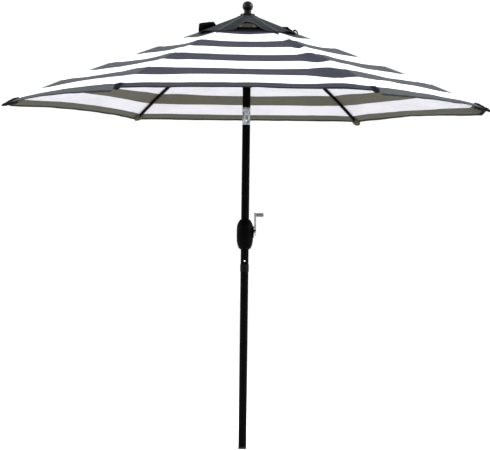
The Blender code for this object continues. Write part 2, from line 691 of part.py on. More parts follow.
def build_canopy(cloth):
    steps = 16
    main_radii = [MAIN_INNER + (RIM_R - MAIN_INNER) * k / steps for k in range(steps + 1)]
    vent_radii = [VENT_INNER, VENT_FLAT, 0.085, 0.135, 0.185, 0.230, VENT_OUTER]
    main = main_gore("canopy_0", main_radii, (0.25, 0.5, 0.75))
    vent = vent_petal("vent_0", vent_radii, (0, 0.2, 0.45, 0.7, 1))
    finish(main, cloth["main"])
    finish(vent, cloth["vent"])
    for k in range(RIB_COUNT):
        turn = GORE_ANGLE * k
        for first, stem in ((main, "canopy"), (vent, "vent")):
            item = first if k == 0 else copy_of(first, f"{stem}_{k}")
            placed(item, PIVOT_R * math.cos(turn), PIVOT_R * math.sin(turn), PIVOT_Z, turn)


def build():
    clear_scene()
    black = (0.012, 0.012, 0.014)
    steel = {
        "pole": make_material("pole_paint", black, 0.35, 0.3),
        "rib": make_material("rib_paint", black, 0.45, 0.3),
        "bracket": make_material("bracket_paint", black, 0.5, 0.3),
        "strut": make_material("strut_paint", black, 0.45, 0.3),
    }
    plastic = {
        "foot": make_material("foot_plastic", (0.015, 0.015, 0.015), 0.6),
        "collar": make_material("collar_plastic", (0.015, 0.015, 0.016), 0.45),
        "housing": make_material("housing_plastic", (0.012, 0.012, 0.013), 0.4),
        "spool": make_material("spool_plastic", (0.08, 0.08, 0.08), 0.5),
        "grip": make_material("grip_plastic", (0.30, 0.28, 0.25), 0.45),
        "button": make_material("button_plastic", (0.75, 0.75, 0.73), 0.4),
        "hub": make_material("hub_plastic", (0.014, 0.014, 0.014), 0.5),
        "finial": make_material("finial_plastic", (0.02, 0.021, 0.024), 0.4),
        "pulley": make_material("pulley_plastic", (0.5, 0.5, 0.48), 0.5),
        "runner": make_material("runner_plastic", (0.014, 0.014, 0.014), 0.5),
        "tip": make_material("tip_plastic", (0.016, 0.015, 0.014), 0.55),
    }
    bright = {
        "snap": make_material("snap_button_steel", (0.72, 0.72, 0.70), 0.25, 1.0),
        "spring": make_material("spring_steel", (0.45, 0.45, 0.45), 0.35, 1.0),
        "shaft": make_material("shaft_steel", (0.55, 0.55, 0.55), 0.3, 1.0),
        "arm": make_material("arm_steel", (0.60, 0.59, 0.57), 0.3, 1.0),
        "casting": make_material("tilt_casting", (0.62, 0.62, 0.62), 0.35, 1.0),
        "pin": make_material("pin_steel", (0.5, 0.5, 0.5), 0.3, 1.0),
    }
    cloth = {
        "main": make_material("canopy_cloth", (0.55, 0.56, 0.60), 0.85),
        "vent": make_material("vent_cloth", (0.04, 0.045, 0.055), 0.85),
    }
    cord = make_material("cord_nylon", (0.6, 0.6, 0.58), 0.7)
    build_pole(steel, plastic, bright)
    build_crank(plastic, bright, cord)
    build_tilt(bright, plastic)
    build_head(steel, plastic, bright, cord)
    build_frame(steel, plastic)
    build_canopy(cloth)


build()
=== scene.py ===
"""The look of a two-tier patio umbrella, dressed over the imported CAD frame. Metres, +Z up, camera on -Y."""
import math

import bpy
import numpy as np
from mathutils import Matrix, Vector, noise


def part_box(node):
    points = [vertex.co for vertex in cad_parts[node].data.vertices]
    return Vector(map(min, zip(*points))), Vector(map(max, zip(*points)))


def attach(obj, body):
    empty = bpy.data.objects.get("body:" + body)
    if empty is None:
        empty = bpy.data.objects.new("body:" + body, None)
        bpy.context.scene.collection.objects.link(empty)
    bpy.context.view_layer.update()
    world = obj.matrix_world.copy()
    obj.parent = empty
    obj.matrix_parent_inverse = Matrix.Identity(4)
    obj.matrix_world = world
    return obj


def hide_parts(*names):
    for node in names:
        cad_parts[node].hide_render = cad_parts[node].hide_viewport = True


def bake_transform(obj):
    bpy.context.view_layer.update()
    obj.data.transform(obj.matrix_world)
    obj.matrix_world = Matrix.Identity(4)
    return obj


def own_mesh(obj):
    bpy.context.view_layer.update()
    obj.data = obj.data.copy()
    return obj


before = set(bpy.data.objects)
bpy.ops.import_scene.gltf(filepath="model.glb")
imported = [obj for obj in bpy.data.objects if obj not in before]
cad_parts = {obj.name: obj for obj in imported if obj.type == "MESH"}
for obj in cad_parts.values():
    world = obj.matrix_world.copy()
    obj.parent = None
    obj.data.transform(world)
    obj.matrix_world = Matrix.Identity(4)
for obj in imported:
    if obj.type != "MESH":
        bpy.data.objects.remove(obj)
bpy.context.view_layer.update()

RIB_COUNT = 6
GORE_ANGLE = math.tau / RIB_COUNT

# the cloth's base shape, as the CAD has it: before the ribs bow, it is at RIDGE_Z - SLOPE * radius over a rib
RIDGE_Z = 2.050
SLOPE = 0.3826
RIB_ANGLE = math.atan(SLOPE)
RIM_R = 1.143
MAIN_INNER = 0.190
CLOTH = 0.0006  # thickness
CLOTH_RISE = 0.0071  # outer cloth above a rib's centre line
RIB_FLAT = 0.005  # half width of the strip that lies flat on a rib
HEM_CURVE = 0.016  # how far mid-gore is drawn in at the rim
PIVOT_R = 0.038
PIVOT_Z = RIDGE_Z - SLOPE * PIVOT_R - CLOTH_RISE / math.cos(RIB_ANGLE)
BOW = 0.012
BOW_SPAN = 1.180  # length along a rib, from its pivot, over which it bows
# gores are numbered by the rib they start from, anticlockwise from +X; gore 4 faces the camera
NEAR_GORES = (3, 4, 5)
FRONT_GORES = (1, 4)  # the panels that face the front and the back; the other gores' outer face takes a lighter copy of the cloth, which paints the stronger light on them
HEM_OFFSETS = (-0.007, -0.007, 0.007, 0.008, 0.003, 0.004)  # height of mid-gore at the hem, for each gore
# where a hem hangs down: depth, beside the gore's first (0) or last (1) rib, over what share of the gore, and
# from what radius
DROOPS = {
    0: (0.027, 0, 0.6, 1.00),
    2: (0.010, 1, 0.9, 1.00),
    3: (0.016, 1, 0.9, 1.07),
    5: (0.015, 0, 0.9, 1.07),
}

# stripes, as radii along a rib
STRIPE_START = 0.2036
STRIPE_PERIOD = 0.2240
STRIPE_DARK = 0.1024
HEM_BAND = 1.083
HEM_GAP = 0.03  # no stripe starts this close before the hem's own dark band
HEM_DEPTH = 0.014
BINDING = 0.024
SEAM_HALF = 0.0055
THREAD = 0.0007  # one thread of the weave and the next
HEM_PAINTED_SHADOW = 0.016  # width of the painted shadow line along the edge of a hem
STITCH = 0.0034  # one stitch and the gap after it
STITCH_SHARE = 0.62
SEAM_STITCHES = (0.0036, 0.0044)  # distances from a seam's centre
HEM_STITCHES = (RIM_R - HEM_DEPTH + 0.001, RIM_R - HEM_DEPTH + 0.0018)

# vent tier
CROWN_R = 0.050
VENT_INNER = 0.040
VENT_FLAT = 0.034  # the cloth is level as far as this radius
VENT_OUTER = 0.275
VENT_TOP_Z = 2.044
VENT_CORNER_Z = 1.9495
VENT_BINDING = 0.012
# each gore's arch at the hem: its height, where it starts and ends as shares across the gore, and its peak
ARCHES = (
    (0.010, 0.1, 0.9, 0.5),
    (0.034, 0.1, 0.9, 0.5),
    (0.010, 0.1, 0.9, 0.5),
    (0.007, 0.1, 0.9, 0.5),
    (0.0405, 0.24, 0.86, 0.48),
    (0.008, 0.1, 0.9, 0.5),
)
# how far each rib's corner of the vent reaches past VENT_OUTER; the two at the sides are drawn up
CORNER_REACH = (-0.045, 0.0, 0.0, -0.050, 0.014, 0.018)
LEFT_RIB = 3
RIGHT_RIB = 0

GORE_COLUMNS = 32  # columns of points across a gore

# the sleeve round the rib hub
SLEEVE_R = 0.0285
SLEEVE_TOP_Z = 2.0055
SLEEVE_FOOT_Z = 1.9760
SLEEVE_FLARE = 0.0012

# the camera, fitted to the photograph's rim corners, foot and finial
LENS_MM = 181.15
SENSOR_MM = 36.0
CAMERA_PLACE = (0.0, -11.637, 0.7463)
CAMERA_UP_TILT = 1.515  # degrees
CAMERA_ROLL = 0.71


# ---------------------------------------------------------------- small helpers
def smooth(x):
    x = np.clip(x, 0.0, 1.0)
    return x * x * (3 - 2 * x)


def noise_at(points, scale, seed):
    """Smooth noise from -1 to 1 at each point of an array of points."""
    flat = np.asarray(points, float).reshape(-1, 3) * scale
    values = [noise.noise(Vector(p) + Vector((seed, seed * 1.7, seed * 0.3))) for p in flat]
    return np.array(values).reshape(np.asarray(points).shape[:-1])


def shaded(mesh, angle=35.0):
    mesh.shade_smooth()
    mesh.set_sharp_from_angle(angle=math.radians(angle))


def new_piece(name, verts, faces, materials, smooth_angle=35.0):
    mesh = bpy.data.meshes.new(name)
    mesh.from_pydata([tuple(v) for v in verts], [], [tuple(f) for f in faces])
    mesh.update()
    shaded(mesh, smooth_angle)
    for material in materials:
        mesh.materials.append(material)
    item = bpy.data.objects.new(name, mesh)
    bpy.context.collection.objects.link(item)
    return item


# ---------------------------------------------------------------- materials
class Shader:
    """A material whose nodes are made one call at a time."""

    def __init__(self, name):
        self.material = bpy.data.materials.new(name)
        self.material.use_nodes = True
        self.tree = self.material.node_tree
        self.out = self.tree.nodes["Principled BSDF"]

    def add(self, kind, inputs, result=0, **settings):
        item = self.tree.nodes.new("ShaderNode" + kind)
        for key, value in settings.items():
            setattr(item, key, value)
        for key, value in inputs.items():
            self.put(item.inputs[key], value)
        return item.outputs[result]

    def put(self, socket, value):
        if isinstance(value, bpy.types.NodeSocket):
            self.tree.links.new(value, socket)
        else:
            socket.default_value = value

    def math(self, operation, a, b=0.0, c=0.0):
        return self.add("Math", {0: a, 1: b, 2: c}, operation=operation)

    def between(self, value, low, high):
        above = self.math("GREATER_THAN", value, low)
        return self.math("MULTIPLY", above, self.math("LESS_THAN", value, high))

    def mix(self, share, a, b):
        return self.add("Mix", {0: share, 6: a, 7: b}, result=2, data_type="RGBA")

    def tint(self, colour, share, dark):
        """The colour times dark where share is 1."""
        return self.add("Mix", {0: share, 6: colour, 7: (dark, dark, dark, 1)}, result=2, data_type="RGBA",
                        blend_type="MULTIPLY")

    def noise(self, where, scale, detail=3.0, roughness=0.5):
        inputs = {"Vector": where, "Scale": scale, "Detail": detail, "Roughness": roughness}
        return self.add("TexNoise", inputs)

    def stretched(self, where, scale):
        return self.add("Mapping", {"Vector": where, "Scale": scale})

    def ramp(self, value, low, high, start=0.0, end=1.0):
        inputs = {"Value": value, "From Min": low, "From Max": high, "To Min": start, "To Max": end}
        return self.add("MapRange", inputs)

    def dashes(self, row, along):
        """A row of stitches: row is 1 on the whole row, and along is the distance along it."""
        turn = self.math("FRACT", self.math("DIVIDE", along, STITCH))
        return self.math("MULTIPLY", row, self.math("LESS_THAN", turn, STITCH_SHARE))

    def place(self):
        return self.add("TexCoord", {}, result=3)

    def uv(self):
        return self.add("UVMap", {}, uv_map="cloth")

    def finish(self, colour, roughness, bumps=(), metallic=0.0, **constants):
        """Sets the surface. Bumps are (pattern, depth in metres), each laid over the one before."""
        self.put(self.out.inputs["Base Color"], colour)
        self.put(self.out.inputs["Roughness"], roughness)
        self.put(self.out.inputs["Metallic"], metallic)
        for key, value in constants.items():
            self.put(self.out.inputs[key.replace("_", " ")], value)
        normal = None
        for height, distance in bumps:
            inputs = {"Height": height, "Distance": distance, "Strength": 1.0}
            if normal is not None:
                inputs["Normal"] = normal
            normal = self.add("Bump", inputs)
        if normal is not None:
            self.put(self.out.inputs["Normal"], normal)
        return self.material


def rgb(r, g, b):
    """Linear colour from 0-255 display values."""
    def linear(c):
        c /= 255.0
        return c / 12.92 if c <= 0.04045 else ((c + 0.055) / 1.055) ** 2.4
    return (linear(r), linear(g), linear(b), 1.0)


def woven(name, dark, light, binding, bound, seam_tone=0.8, mottle=0.12):
    """Woven cloth, striped if light is given, with its edge bound over the radii in bound.

    The map 'cloth' gives metres: across from the nearest rib, and the radius along the rib.
    """
    s = Shader(name)
    uv = s.uv()
    split = s.add("SeparateXYZ", {0: uv})
    across = split
    radius = split.node.outputs[1]
    colour = dark
    if light is not None:
        wobble = s.math("MULTIPLY", s.math("SUBTRACT", s.noise(uv, 60.0), 0.5), 0.0012)
        at = s.math("ADD", radius, wobble)
        turn = s.math("FRACT", s.math("DIVIDE", s.math("SUBTRACT", at, STRIPE_START), STRIPE_PERIOD))
        banded = s.math("LESS_THAN", turn, STRIPE_DARK / STRIPE_PERIOD)
        banded = s.math("MULTIPLY", banded, s.math("LESS_THAN", at, HEM_BAND - HEM_GAP))
        banded = s.math("MAXIMUM", banded, s.math("GREATER_THAN", at, HEM_BAND))
        colour = s.mix(banded, light, dark)
    colour = s.mix(s.between(radius, *bound), colour, binding)
    # yarn streaks that follow the weft, and soft patches where the cloth has faded
    streaks = s.noise(s.stretched(uv, (9.0, 900.0, 1.0)), 1.0, 2.0)
    patches = s.noise(uv, 7.0, 4.0, 0.6)
    colour = s.tint(colour, s.ramp(streaks, 0.35, 0.75), 1 - mottle * 0.6)
    colour = s.tint(colour, s.ramp(patches, 0.4, 0.75), 1 - mottle)
    # stitches: two rows beside each seam and one along the hem
    off_seam = s.math("ABSOLUTE", across)
    seam_row = s.dashes(s.between(off_seam, *SEAM_STITCHES), radius)
    hem_row = s.dashes(s.between(radius, *HEM_STITCHES), across)
    stitches = s.math("MAXIMUM", seam_row, hem_row)
    in_seam = s.math("LESS_THAN", off_seam, SEAM_HALF)
    colour = s.tint(colour, in_seam, seam_tone)
    colour = s.tint(colour, stitches, 0.6)
    # painted shadow: a dark line along the hem's edge
    colour = s.tint(colour, s.math("GREATER_THAN", radius, RIM_R - HEM_PAINTED_SHADOW), 0.10)
    warp = s.math("SINE", s.math("MULTIPLY", across, math.tau / THREAD))
    weft = s.math("SINE", s.math("MULTIPLY", radius, math.tau / THREAD))
    weave = s.math("MULTIPLY", warp, weft)
    creases = s.noise(s.stretched(uv, (1.0, 1.6, 1.0)), 26.0, 5.0, 0.55)
    rough = s.ramp(streaks, 0.3, 0.7, 0.78, 0.92)
    bumps = [(creases, 0.0022), (stitches, 0.0004), (weave, 0.00008)]
    return s.finish(colour, rough, bumps, Specular_IOR_Level=0.08, Sheen_Weight=0.02)


def crumpled_cloth(name, colour, scale=420.0):
    """Dark cloth without a map: a fine diagonal weave, creases and faded ridges."""
    s = Shader(name)
    where = s.place()
    inputs = {"Vector": where, "Scale": scale, "Distortion": 1.5, "Detail": 2.0}
    weave = s.add("TexWave", inputs, result=1, bands_direction="DIAGONAL")
    creases = s.noise(where, 90.0, 5.0, 0.6)
    faded = tuple(min(1.0, c * 1.8 + 0.001) for c in colour[:3]) + (1.0,)
    tone = s.mix(s.ramp(creases, 0.5, 0.75, 0.0, 0.6), colour, faded)
    tone = s.tint(tone, weave, 0.8)
    rough = s.ramp(creases, 0.3, 0.7, 0.8, 0.95)
    bumps = [(creases, 0.0012), (weave, 0.00015)]
    return s.finish(tone, rough, bumps, Specular_IOR_Level=0.05)


def painted(name, colour, roughness=0.38, chips=(0.0025, 0.0025, 0.003, 1.0)):
    """Powder-coated steel: fine orange peel, faint scuffs and dust."""
    s = Shader(name)
    where = s.place()
    peel = s.noise(where, 700.0, 2.0)
    dust = s.noise(where, 9.0, 6.0, 0.65)
    scuffs = s.noise(s.stretched(where, (1.0, 1.0, 0.12)), 160.0, 4.0, 0.7)
    tone = s.mix(s.ramp(dust, 0.45, 0.8, 0.0, 0.35), colour, chips)
    tone = s.mix(s.ramp(scuffs, 0.69, 0.76, 0.0, 0.5), tone, chips)
    rough = s.ramp(dust, 0.3, 0.75, roughness - 0.05, roughness + 0.18)
    return s.finish(tone, rough, [(peel, 0.00012), (scuffs, 0.00006)], Specular_IOR_Level=0.02)


def moulded(name, colour, roughness=0.5, grain=900.0, spec=0.08):
    """Moulded plastic with a spark-eroded grain and faint dust."""
    s = Shader(name)
    where = s.place()
    fine = s.noise(where, grain, 3.0)
    cloud = s.noise(where, 30.0, 5.0, 0.6)
    pale = tuple(min(1.0, c * 1.6 + 0.001) for c in colour[:3]) + (1.0,)
    tone = s.mix(s.ramp(cloud, 0.45, 0.8, 0.0, 0.30), colour, pale)
    rough = s.ramp(cloud, 0.3, 0.7, roughness - 0.08, roughness + 0.12)
    return s.finish(tone, rough, [(fine, 0.00018)], Specular_IOR_Level=spec)


def bare_metal(name, colour, roughness=0.3, stretch=(1.0, 1.0, 1.0), cast=0.0, wear=0.55):
    """Turned, plated or cast metal: fine tool marks along one axis, dull patches, and pits of depth cast."""
    s = Shader(name)
    where = s.place()
    marks = s.noise(s.stretched(where, stretch), 500.0, 3.0)
    cloud = s.noise(where, 60.0, 5.0, 0.6)
    dull = tuple(c * (1 - wear) * 0.9 for c in colour[:3]) + (1.0,)
    tone = s.mix(s.ramp(cloud, 0.42, 0.68 - 0.1 * wear, 0.0, wear), colour, dull)
    bumps = [(marks, 0.00006)]
    if cast:
        bumps.append((s.noise(where, 260.0, 4.0, 0.7), cast))
    return s.finish(tone, s.ramp(cloud, 0.3, 0.7, roughness - 0.06, roughness + 0.16), bumps, 1.0)


def braided(name, colour):
    """A round cord whose strands cross as two opposed helices."""
    s = Shader(name)
    where = s.place()
    split = s.add("SeparateXYZ", {0: where})
    height = split.node.outputs[2]
    side = s.math("ARCTAN2", split, split.node.outputs[1])
    rise = s.math("MULTIPLY", height, 3200.0)
    round_it = s.math("MULTIPLY", side, 6.0)
    one = s.math("SINE", s.math("ADD", rise, round_it))
    other = s.math("SINE", s.math("SUBTRACT", rise, round_it))
    braid = s.math("MULTIPLY", one, other)
    tone = s.tint(colour, s.ramp(braid, -0.2, 0.8), 0.72)
    tone = s.tint(tone, s.ramp(s.noise(where, 40.0, 4.0), 0.4, 0.8), 0.8)
    return s.finish(tone, 0.8, [(braid, 0.0002)])


# ---------------------------------------------------------------- cloth surfaces
class Tier:
    """One ring of cloth over all the gores, as a grid of points that closes on itself.

    height gives each point's height, and pull how far it is drawn in from the straight line between two ribs.
    """

    def __init__(self, radii, height, pull):
        per_gore = GORE_COLUMNS
        half = per_gore // 2
        self.points = np.zeros((len(radii), per_gore * RIB_COUNT, 3))
        self.across = np.zeros(self.points.shape[:2])
        self.radii = np.array(radii)
        # the first columns follow the seam's edges, in metres, or in shares of the gore where it is narrow
        near = np.array([0.0, 0.0040, 0.0055, 0.0072, 0.0110])
        narrow = np.array([0, 0.04, 0.06, 0.08, 0.12])
        for row, radius in enumerate(radii):
            span = radius * math.sin(GORE_ANGLE)
            close = np.minimum(near, span * narrow)
            rest = close[-1] + (span / 2 - close[-1]) * (np.arange(1, half - 3) / (half - 4)) ** 1.15
            sideways = np.concatenate([close, rest])
            share = sideways / span
            shares = np.concatenate([share, (1 - share[1:-1])[::-1]])
            for gore in range(RIB_COUNT):
                first = gore * per_gore
                turn = gore * GORE_ANGLE
                pulled = radius - pull(gore, radius, shares)
                d = np.minimum(shares, 1 - shares)
                off = pulled * math.sin(GORE_ANGLE) * d
                x = pulled * ((1 - shares) * math.cos(turn) + shares * math.cos(turn + GORE_ANGLE))
                y = pulled * ((1 - shares) * math.sin(turn) + shares * math.sin(turn + GORE_ANGLE))
                z = height(gore, pulled, shares, off, x, y, radius)
                self.points[row, first:first + per_gore] = np.stack([x, y, z], -1)
                self.across[row, first:first + per_gore] = np.where(shares <= 0.5, off, -off)
        along = np.gradient(self.points, axis=0)
        around = np.roll(self.points, -1, 1) - np.roll(self.points, 1, 1)
        out = np.cross(along, around)
        self.normals = out / np.linalg.norm(out, axis=-1, keepdims=True)

    def columns(self, k, gores):
        """The columns of points from mid-gore to mid-gore round rib k."""
        half = GORE_COLUMNS * gores // 2
        return (np.arange(-half, half + 1) + k * GORE_COLUMNS) % self.points.shape[1]

    def petal(self, name, k, materials, gores=1):
        """The part round rib k, from mid-gore to mid-gore, as a closed thin shell.

        The materials are for the outer face and the inner face, whose khaki and greyer tones paint the light
        through and under the cloth; a third, a lighter copy of the outer one, paints the stronger light on
        the outer face of side gores.
        """
        columns = self.columns(k, gores)
        outer = self.points[:, columns]
        normal = self.normals[:, columns]
        inner = outer - CLOTH * normal
        rows, width = outer.shape[:2]
        count = rows * width
        verts = np.concatenate([outer.reshape(-1, 3), inner.reshape(-1, 3)])
        grid = np.arange(count).reshape(rows, width)
        quads = np.stack([grid[:-1, :-1], grid[1:, :-1], grid[1:, 1:], grid[:-1, 1:]], -1).reshape(-1, 4)
        ring = np.concatenate([grid[0, :-1], grid[:-1, -1], grid[-1, :0:-1], grid[:0:-1, 0]])
        after = np.roll(ring, -1)
        sides = np.stack([ring, after, after + count, ring + count], -1)
        faces = np.concatenate([quads, quads[:, ::-1] + count, sides])
        item = new_piece(name, verts, faces, materials, 180.0)
        mesh = item.data
        kinds = np.zeros(len(faces), np.int32)
        kinds[len(quads):2 * len(quads)] = 1
        # painted light: the outer face of the side gores takes the lighter copy of the cloth
        if len(materials) == 3:
            gore_of = np.tile(columns[:-1] // GORE_COLUMNS, rows - 1)
            kinds[:len(quads)][~np.isin(gore_of, FRONT_GORES)] = 2
        mesh.polygons.foreach_set("material_index", kinds)
        # a petal ends at mid-gore, where the distance from the nearest rib changes its sign
        across = self.across[:, columns].copy()
        across[:, 0] = -abs(across[:, 0])
        across[:, -1] = abs(across[:, -1])
        flat = np.stack([across, np.broadcast_to(self.radii[:, None], across.shape)], -1).reshape(-1, 2)
        corner = np.zeros(len(mesh.loops), np.int32)
        mesh.loops.foreach_get("vertex_index", corner)
        layer = mesh.uv_layers.new(name="cloth")
        layer.data.foreach_set("uv", flat[corner % count].ravel().astype(np.float32))
        # the outer and inner faces shade by the whole surface, and the cut sides by their own faces
        normals = np.concatenate([normal.reshape(-1, 3), -normal.reshape(-1, 3)])[corner]
        side_start = 8 * len(quads)
        face_normals = np.zeros(len(mesh.polygons) * 3, np.float32)
        mesh.polygons.foreach_get("normal", face_normals)
        normals[side_start:] = np.repeat(face_normals.reshape(-1, 3)[2 * len(quads):], 4, 0)
        mesh.normals_split_custom_set(normals.tolist())
        return item


def ridge_at(radius):
    """Height and downward slope of the outer cloth over a bowed rib, at a radius."""
    # x is the distance along the rib, corrected until the cloth over it is at this radius
    x = (radius - PIVOT_R) / math.cos(RIB_ANGLE)
    for _ in range(4):
        bow = BOW * math.sin(math.pi * (x / BOW_SPAN) ** 2)
        turn = math.atan(BOW * math.cos(math.pi * (x / BOW_SPAN) ** 2) * math.tau * x / BOW_SPAN ** 2)
        along = x - CLOTH_RISE * math.sin(turn)
        above = bow + CLOTH_RISE * math.cos(turn)
        reached = PIVOT_R + along * math.cos(RIB_ANGLE) + above * math.sin(RIB_ANGLE)
        x -= (reached - radius) / math.cos(RIB_ANGLE)
    return PIVOT_Z - along * math.sin(RIB_ANGLE) + above * math.cos(RIB_ANGLE), math.tan(RIB_ANGLE - turn)


def seam_lift(off):
    """The felled seam stands a little proud over the rib."""
    return 0.0007 * smooth((SEAM_HALF + 0.0012 - off) / 0.0012)


def pucker_table():
    """How the cloth puckers beside each seam: (gore, at its first or last rib) -> height, phase, reach."""
    table = {}
    for gore in range(RIB_COUNT):
        for end in (0, 1):
            mark = noise.noise(Vector((gore * 3.1 + 0.4, end * 2.3 + 0.9, 5.2)))
            turn = noise.noise(Vector((gore * 1.7 + 7.4, end * 4.1 + 1.9, 2.2)))
            table[gore, end] = (0.0018 + 0.0010 * mark, 1.6 * turn, 0.15)
    # the front panel is drawn up most beside its right-hand seam, and hardly at all beside the other
    table[4, 1] = (0.0085, 0.0, 0.11)
    table[4, 0] = (0.0015, 0.3, 0.10)
    return table


PUCKERS = pucker_table()


def gore_offset(gore, radius):
    """Mid-gore against the straight line between its ribs: it sags, and near the hem it comes back up."""
    sag = 0.008 if gore in NEAR_GORES else 0.010
    hem = HEM_OFFSETS[gore]
    out = smooth((radius - 0.80) / 0.26)
    return hem * out - sag * (1 - out)


def main_height(gore, pulled, share, off, x, y, radius):
    """Heights across one gore at one radius: straight between the ribs, with what the cloth does added."""
    height, slope = ridge_at(radius)
    flat = height + slope * (radius - pulled + math.tan(GORE_ANGLE / 2) * np.minimum(off, RIB_FLAT))
    out = (radius - MAIN_INNER) / (RIM_R - MAIN_INNER)
    hang = gore_offset(gore, radius) * np.sin(math.pi * share) ** 1.3
    points = np.stack([x, y, np.full_like(x, 0.3)], -1)
    # broad and fine unevenness, which fades out at the ribs
    free = smooth((off - RIB_FLAT) / 0.05)
    slack = 0.0020 * noise_at(points, 5.5, 3.0) * free + 0.0009 * noise_at(points, 14.0, 9.0) * free
    # puckers beside both seams, which rise and fall once for each stripe
    lift = np.zeros_like(x)
    for end in (0, 1):
        high, phase, reach = PUCKERS[gore, end]
        away = radius * math.sin(GORE_ANGLE) * (share if end == 0 else 1 - share)
        wide = reach * radius * (0.14 + 1.8 * radius)
        full = 0.4 * wide
        shape = smooth((away - RIB_FLAT) / (full - RIB_FLAT)) * (1 - smooth((away - full) / (wide - full)))
        wave = math.cos(math.tau * (radius - STRIPE_START) / STRIPE_PERIOD + phase)
        lift += high * shape * wave * smooth(out / 0.12)
    # the turned hem and the bound inner edge are thicker, and the hem ripples where it is drawn up
    edge = 0.0009 * smooth((radius - RIM_R + HEM_DEPTH) / 0.0015)
    edge += 0.0012 * smooth((MAIN_INNER + BINDING - radius) / 0.002)
    ripple = 0.0016 * noise_at(points, 22.0, 6.0) * free * smooth((radius - 1.05) / 0.08)
    droop = np.zeros_like(x)
    if gore in DROOPS:
        depth, end, reach, start = DROOPS[gore]
        away = (share if end == 0 else 1 - share) / reach
        outward = smooth((radius - start) / (RIM_R - start))
        droop = depth * outward * smooth((off - RIB_FLAT) / 0.02) * (1 - smooth(away))
    return flat + hang + slack + lift + edge + ripple - droop + seam_lift(off)


def main_pull(gore, radius, share):
    """How far the cloth is drawn in towards the mast."""
    return HEM_CURVE * (radius / RIM_R) ** 2 * np.sin(math.pi * share)


def build_main(materials):
    # rows of points, closer together at the bound inner edge and at the turned hem
    edge = [MAIN_INNER, MAIN_INNER + 0.002, MAIN_INNER + BINDING]
    body = list(np.linspace(MAIN_INNER + BINDING + 0.002, RIM_R - 0.022, 118))
    hem = [RIM_R - HEM_DEPTH - 0.001, RIM_R - HEM_DEPTH + 0.001, RIM_R - 0.007, RIM_R - 0.0015, RIM_R]
    tier = Tier(edge + body + hem, main_height, main_pull)
    for k in range(RIB_COUNT):
        item = tier.petal(f"canopy_petal_{k}", k, materials)
        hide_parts(f"canopy_{k}")
        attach(item, f"rib_{k}")
        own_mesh(item)


def vent_height(gore, pulled, share, off, x, y, radius):
    """Heights across one gore of the vent: a cone that arches between the ribs, with loose folds."""
    out = np.clip((pulled - VENT_FLAT) / (VENT_OUTER - VENT_FLAT), 0.0, 1.1)
    low = VENT_TOP_Z + out * (VENT_CORNER_Z - VENT_TOP_Z)
    rise, first, last, peak = ARCHES[gore]
    before = smooth((share - first) / (peak - first))
    after = smooth((last - share) / (last - peak))
    arch = rise * out ** 1.4 * np.minimum(before, after)
    points = np.stack([x, y, np.full_like(x, 0.7)], -1)
    loose = smooth((out - 0.05) / 0.5) * smooth(off / 0.02)
    folds = 0.0028 * noise_at(points, 17.0, 4.0) + 0.0013 * noise_at(points, 44.0, 8.0)
    return low + arch + (folds + 0.0012) * loose + seam_lift(off)


def vent_pull(gore, radius, share):
    """How far the vent's cloth is drawn in; a corner's reach brings it out, or in where it is negative."""
    out = (radius / VENT_OUTER) ** 2
    pull = HEM_CURVE * (radius / RIM_R) ** 2 * np.sin(math.pi * share)
    for end, rib in ((share, gore), (1 - share, (gore + 1) % RIB_COUNT)):
        pull = pull - CORNER_REACH[rib] * out * (1 - smooth(end / 0.30))
    return pull


def crown_height(gore, pulled, share, off, x, y, radius):
    """The crown patch lies on the petals and goes under the finial's flange."""
    fall = np.maximum(0.0, (pulled - VENT_FLAT) / (VENT_OUTER - VENT_FLAT)) * (VENT_CORNER_Z - VENT_TOP_Z)
    return np.minimum(VENT_TOP_Z + 0.0002, VENT_TOP_Z + fall + 0.0022)


def crown_pull(gore, radius, share):
    return np.zeros_like(share)


def build_crown(top, under):
    tier = Tier(list(np.linspace(0.012, CROWN_R, 12)), crown_height, crown_pull)
    item = tier.petal("vent_crown", 0, [top, under], RIB_COUNT)
    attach(item, "head")


def build_vent(top, under):
    body = list(np.linspace(VENT_INNER, VENT_OUTER - VENT_BINDING, 30))
    hem = [VENT_OUTER - 0.009, VENT_OUTER - 0.002, VENT_OUTER]
    tier = Tier(body + hem, vent_height, vent_pull)
    for k in range(RIB_COUNT):
        item = tier.petal(f"vent_petal_{k}", k, [top, under])
        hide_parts(f"vent_{k}")
        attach(item, f"rib_{k}")
        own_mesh(item)


# ---------------------------------------------------------------- sewn details
def on_rib(k, along, side, up):
    """A point from the distance along rib k's radius, sideways from it, and above the cloth there."""
    cos, sin = math.cos(k * GORE_ANGLE), math.sin(k * GORE_ANGLE)
    height = ridge_at(along)[0]
    return Vector((along * cos - side * sin, along * sin + side * cos, height + up))


def loft_tube(name, rings, materials):
    """A closed body through rings of points, each ring with the same number of points."""
    size = len(rings[0])
    verts = [point for ring in rings for point in ring]
    faces = [list(range(size))[::-1], [len(verts) - size + k for k in range(size)]]
    for ring in range(len(rings) - 1):
        for k in range(size):
            after = (k + 1) % size
            first = ring * size
            faces.append([first + k, first + after, first + size + after, first + size + k])
    return new_piece(name, verts, faces, materials, 50.0)


